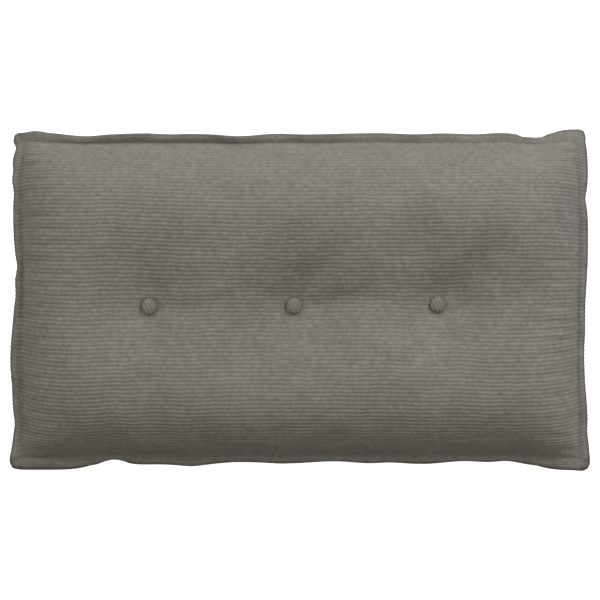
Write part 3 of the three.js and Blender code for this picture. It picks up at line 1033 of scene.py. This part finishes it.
def thread_material(cloth):
    """Twisted tonal sewing thread."""
    material, tree, shader = new_material("sewing_thread")
    place = add_node(tree, "ShaderNodeTexCoord").outputs["Object"]
    twist = add_node(tree, "ShaderNodeTexWave", {
        "Vector": place, "Scale": 900.0, "Distortion": 1.0,
    }, bands_direction="DIAGONAL").outputs["Fac"]
    light = tuple(min(1, value * 1.5) for value in cloth.thread[:3]) + (1,)
    bump = add_node(tree, "ShaderNodeBump", {"Strength": 0.4, "Distance": 0.0001, "Height": twist})
    feed(tree, shader, {
        "Base Color": mixed_colour(tree, twist, cloth.thread, light),
        "Normal": bump.outputs[0],
        "Roughness": 0.75,
        "Specular IOR Level": 0.2,
    })
    return material


def cloth_material(shape, cloth):
    """The ribbed material, made once."""
    name = "uneven_ribbed_cloth"
    return bpy.data.materials.get(name) or ribbed_material(name, shape, cloth)


def dress(piece, material):
    """Gives a piece its material and its place on the body."""
    piece.data.materials.clear()
    piece.data.materials.append(material)
    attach(piece, BODY)


def stitch_tree():
    """Geometry Nodes that lay stitches end to end along a seam line."""
    tree = bpy.data.node_groups.new("topstitching", "GeometryNodeTree")
    for name, kind, way in STITCH_SOCKETS:
        socket = tree.interface.new_socket(name, in_out=way, socket_type=f"NodeSocket{kind}")
        if kind == "Float":
            socket.subtype = "DISTANCE"
    given = add_node(tree, "NodeGroupInput").outputs
    line = add_node(tree, "GeometryNodeMeshToCurve", {"Mesh": given["Geometry"]})
    spaced = add_node(tree, "GeometryNodeResampleCurve", {
        "Curve": line.outputs[0], "Length": given["Spacing"],
    }, mode="LENGTH")
    ball = add_node(tree, "GeometryNodeMeshUVSphere", {"Segments": 6, "Rings": 5, "Radius": 0.5})
    size = add_node(tree, "ShaderNodeCombineXYZ", {
        0: given["Thickness"], 1: given["Thickness"], 2: given["Length"],
    })
    stitch = add_node(tree, "GeometryNodeTransform", {
        "Geometry": ball.outputs[0], "Scale": size.outputs[0],
    })
    along = add_node(tree, "GeometryNodeInputTangent").outputs[0]
    wander = add_node(tree, "FunctionNodeRandomValue", {
        0: (-0.1, -0.1, -0.1), 1: (0.1, 0.1, 0.1), "Seed": given["Seed"],
    }, data_type="FLOAT_VECTOR").outputs[0]
    aim = add_node(tree, "ShaderNodeVectorMath", {0: along, 1: wander}, operation="ADD")
    turn = add_node(tree, "FunctionNodeAlignRotationToVector", {"Vector": aim.outputs[0]}, axis="Z")
    stitches = add_node(tree, "GeometryNodeInstanceOnPoints", {
        "Points": spaced.outputs[0], "Instance": stitch.outputs[0], "Rotation": turn.outputs[0],
    })
    real = add_node(tree, "GeometryNodeRealizeInstances", {0: stitches.outputs[0]})
    finished = add_node(tree, "GeometryNodeSetMaterial", {
        "Geometry": real.outputs[0], "Material": given["Thread"],
    })
    add_node(tree, "NodeGroupOutput", {0: finished.outputs[0]})
    return tree


def set_inputs(modifier, values):
    """Sets a Geometry Nodes modifier's inputs by their sockets' identifiers."""
    for item in modifier.node_group.interface.items_tree:
        if item.item_type == "SOCKET" and item.in_out == "INPUT" and item.name in values:
            modifier[item.identifier] = values[item.name]


def turn_to_mesh(piece):
    """Replaces a piece's modifiers by the mesh that they make."""
    evaluated = piece.evaluated_get(bpy.context.evaluated_depsgraph_get())
    made = bpy.data.meshes.new_from_object(evaluated)
    piece.modifiers.clear()
    piece.data = made


def button_profile(button, top):
    """Radius and height down a button's outside, from the middle of its dome to its foot."""
    radius = button.radius * np.sin(np.linspace(0, 1, BUTTON_RINGS) * math.pi / 2)
    dome = np.clip(1 - (radius / button.radius) ** 2, 0, 1) ** button.dome_softness
    height = button.edge_height + (top - button.edge_height) * dome
    turn = np.linspace(0, 1, BUTTON_SIDE_RINGS + 1)[1:]
    side_radius = button.radius - (button.radius - button.foot_radius) * turn**BUTTON_SIDE_POWER
    side_height = button.edge_height * (1 - turn)
    foot_radius = button.foot_radius * np.array([0.66, 0.33])
    return np.concatenate([
        np.stack([radius, height], axis=-1),
        np.stack([side_radius, side_height], axis=-1),
        np.stack([foot_radius, np.zeros(2)], axis=-1),
    ])[1:]


def button_body(button, top, rng):
    """Points and faces of a button without its ribs, gathered under its rim."""
    around = BUTTON_AROUND
    profile = button_profile(button, top)
    angle = np.linspace(0, 2 * math.pi, around, endpoint=False)
    radius, z = (profile[:, i:i + 1] * np.ones(around) for i in (0, 1))
    x, y = radius * np.cos(angle), radius * np.sin(angle)
    gathers = sum(
        height * np.sin(angle * count + rng.uniform(0, 6)) for count, height in BUTTON_GATHERS
    )
    start, end = (button.edge_height + over * MM for over in (GATHERED_FROM, GATHERED_TO))
    low = smooth(z, start, end) * (profile[:, 1:] > 0)
    x, y = (way * (1 + button.gathers * low * gathers) for way in (x, y))
    middle, foot = np.array([[0, 0, top]]), np.array([[0, 0, 0]])
    points = np.concatenate([middle, np.stack([x, y, z], axis=-1).reshape(-1, 3), foot])
    ring = 1 + np.arange(len(profile) * around).reshape(len(profile), around)
    rings = [np.zeros(around, int), *ring, np.full(around, len(points) - 1)]
    faces = np.concatenate([band_faces(a, b) for a, b in zip(rings, rings[1:])])
    return points, faces


def button_piece(name, shape, button, turn, offset, rng):
    """A covered button: cloth drawn over a dome, its ribs at a slant."""
    low, high = (Vector(corner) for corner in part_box(name))
    place = (low + high) / 2
    points, faces = button_body(button, high.z - low.z - BUTTON_LOWER_BY * MM, rng)
    across = points[:, 0] * math.cos(turn) + points[:, 1] * math.sin(turn)
    along = -points[:, 0] * math.sin(turn) + points[:, 1] * math.cos(turn)
    phase = across / (2 * button.radius / button.ribs) + offset
    relief = button.rib_height * (np.abs(np.sin(math.pi * phase)) ** SHADED_BLUNTNESS - 0.5)
    relief *= smooth(points[:, 2], BUTTON_RIBS_FROM * MM, BUTTON_RIBS_TO * MM)
    points += point_normals(points, faces) * relief[:, None]
    raised = smooth(points[:, 2], 0, button.edge_height)
    inner = 1 - np.hypot(points[:, 0], points[:, 1]) / button.radius
    points[:, 2] -= button.tilt * raised * (points[:, 0] + points[:, 1]) / math.sqrt(2)
    points[:, 0] *= button.narrowness
    points += np.array((place.x, place.y, low.z))
    fabric = np.stack([along, phase * rib_pitch(shape)], axis=-1)
    # an even darker tone of its pile, and painted shade towards its rim
    shade = button.shade + button.painted_rim_shade * (1 - smooth(inner, 0, BUTTON_RIM_SHARE))
    return cloth_object(f"{name}_covered", points, faces, fabric, shade)


class CUSHION_OT_cover(bpy.types.Operator):
    """Sew and fill the cushion's cover"""

    bl_idname = "cushion.cover"
    bl_label = "Cover"

    def execute(self, context):
        shape, cloth = context.scene.cushion_shape, context.scene.cushion_cloth
        cover, seam = cover_piece(shape)
        dress(cover, cloth_material(shape, cloth))
        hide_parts("cushion")
        line = bpy.data.meshes.new("seam_line")
        count = len(seam)
        line.from_pydata(seam.tolist(), [(i, (i + 1) % count) for i in range(count)], [])
        line.use_fake_user = True
        return {"FINISHED"}


class CUSHION_OT_buttons(bpy.types.Operator):
    """Pull the covered buttons into the cover"""

    bl_idname = "cushion.buttons"
    bl_label = "Covered buttons"

    def execute(self, context):
        shape, cloth = context.scene.cushion_shape, context.scene.cushion_cloth
        button = context.scene.cushion_button
        rng = np.random.default_rng(shape.seed + 1)
        uneven = math.radians(3)
        for node in BUTTON_NODES:
            turn, offset = button.rib_turn + rng.uniform(-uneven, uneven), rng.uniform(0, 1)
            piece = button_piece(node, shape, button, turn, offset, rng)
            dress(piece, cloth_material(shape, cloth))
            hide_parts(node)
        return {"FINISHED"}


class CUSHION_OT_topstitching(bpy.types.Operator):
    """Sew the row of topstitching beside the flange"""

    bl_idname = "cushion.topstitching"
    bl_label = "Topstitching"

    def execute(self, context):
        shape, stitch = context.scene.cushion_shape, context.scene.cushion_stitch
        piece = bpy.data.objects.new("topstitching", bpy.data.meshes["seam_line"])
        context.scene.collection.objects.link(piece)
        thread = thread_material(context.scene.cushion_cloth)
        modifier = piece.modifiers.new("stitches", "NODES")
        modifier.node_group = stitch_tree()
        set_inputs(modifier, {
            "Spacing": stitch.spacing, "Length": stitch.length,
            "Thickness": stitch.thickness, "Seed": shape.seed, "Thread": thread,
        })
        turn_to_mesh(piece)
        shade_smooth(piece)
        dress(piece, thread)
        return {"FINISHED"}


def aimed(name, data, place, target):
    """An object for a light or camera that looks from a place at a target."""
    made = bpy.data.objects.new(name, data)
    made.location = place
    made.rotation_euler = (Vector(target) - Vector(place)).to_track_quat("-Z", "Y").to_euler()
    bpy.context.scene.collection.objects.link(made)
    return made


def soft_light(name, place, target, size, power):
    """A square soft light."""
    light = bpy.data.lights.new(name, "AREA")
    light.shape = "RECTANGLE"
    light.size, light.size_y = size
    light.energy = power
    light.color = LIGHT_COLOUR
    return aimed(name, light, place, target)


def studio_sky(stage):
    """Light from the whole room above the floor, brighter beyond the cushion's upper edge."""
    world = bpy.data.worlds.new("studio")
    world.use_nodes = True
    tree = world.node_tree
    direction = add_node(tree, "ShaderNodeTexCoord").outputs["Generated"]
    way = add_node(tree, "ShaderNodeSeparateXYZ", {0: direction}).outputs
    above = calculate(tree, "GREATER_THAN", way[2], 0.0)
    lean = calculate(tree, "MULTIPLY_ADD", way[1], stage.sky_lean, 1.0)
    even = calculate(tree, "MULTIPLY", above, lean)
    strength = calculate(tree, "MULTIPLY", even, stage.sky_strength)
    feed(tree, tree.nodes["Background"], {"Color": (*SKY_COLOUR, 1), "Strength": strength})
    return world


def lit_floor(stage):
    """A pale floor that is lit on its own, as a backdrop is, and lights nothing else."""
    half = stage.floor_size / 2
    corners = np.array([(-half, -half, 0), (half, -half, 0), (half, half, 0), (-half, half, 0)])
    floor = new_mesh_object("floor", corners, np.array([[0, 1, 2, 3]]))
    pale, tree, shader = new_material("pale_floor")
    feed(tree, shader, {
        "Base Color": stage.floor,
        "Roughness": 0.9,
        "Emission Color": (1, 1, 1, 1),
        "Emission Strength": stage.floor_glow,
    })
    floor.data.materials.append(pale)
    floor.visible_diffuse = False
    return floor


def overhead_camera(stage, seam_height):
    """A camera straight above the cushion, which sees the view width at the seam's height."""
    camera = bpy.data.cameras.new("camera")
    camera.lens = stage.lens
    distance = stage.view_width * stage.lens / camera.sensor_width
    view = bpy.data.objects.new("camera", camera)
    view.location = (0, 0, seam_height + distance)
    bpy.context.scene.collection.objects.link(view)
    return view


class CUSHION_OT_stage(bpy.types.Operator):
    """Lay the pale floor, and set up the soft light and the camera"""

    bl_idname = "cushion.stage"
    bl_label = "Stage"

    def execute(self, context):
        scene, stage = context.scene, context.scene.cushion_stage
        floor = lit_floor(stage)
        scene.world = studio_sky(stage)
        for name, place, size, power in LIGHTS:
            soft_light(name, place, LIGHT_TARGET, size, power)
        scene.view_settings.view_transform = "Standard"
        scene.camera = overhead_camera(stage, scene.cushion_shape.seam_height)
        return {"FINISHED"}


class CUSHION_PT_panel(bpy.types.Panel):
    """The cushion's pieces"""

    bl_idname = "CUSHION_PT_panel"
    bl_label = "Back cushion"
    bl_space_type = "VIEW_3D"
    bl_region_type = "UI"
    bl_category = "Cushion"

    def draw(self, context):
        for operator in OPERATORS:
            self.layout.operator(operator.bl_idname)
        for group in GROUPS:
            settings = getattr(context.scene, group)
            for name in settings.bl_rna.properties.keys():
                if name not in ("name", "rna_type"):
                    self.layout.prop(settings, name)


GROUPS = {
    "cushion_shape": CushionShape,
    "cushion_cloth": CushionCloth,
    "cushion_button": CushionButton,
    "cushion_stitch": CushionStitch,
    "cushion_stage": CushionStage,
}
OPERATORS = (CUSHION_OT_cover, CUSHION_OT_buttons, CUSHION_OT_topstitching, CUSHION_OT_stage)


def register():
    for kind in (*GROUPS.values(), *OPERATORS, CUSHION_PT_panel):
        bpy.utils.register_class(kind)
    for name, kind in GROUPS.items():
        setattr(bpy.types.Scene, name, PointerProperty(type=kind))


def unregister():
    for name in GROUPS:
        delattr(bpy.types.Scene, name)
    for kind in (CUSHION_PT_panel, *OPERATORS, *GROUPS.values()):
        bpy.utils.unregister_class(kind)


def main():
    register()
    bpy.ops.cushion.cover()
    bpy.ops.cushion.buttons()
    bpy.ops.cushion.topstitching()
    bpy.ops.cushion.stage()


if __name__ == "__main__":
    main()
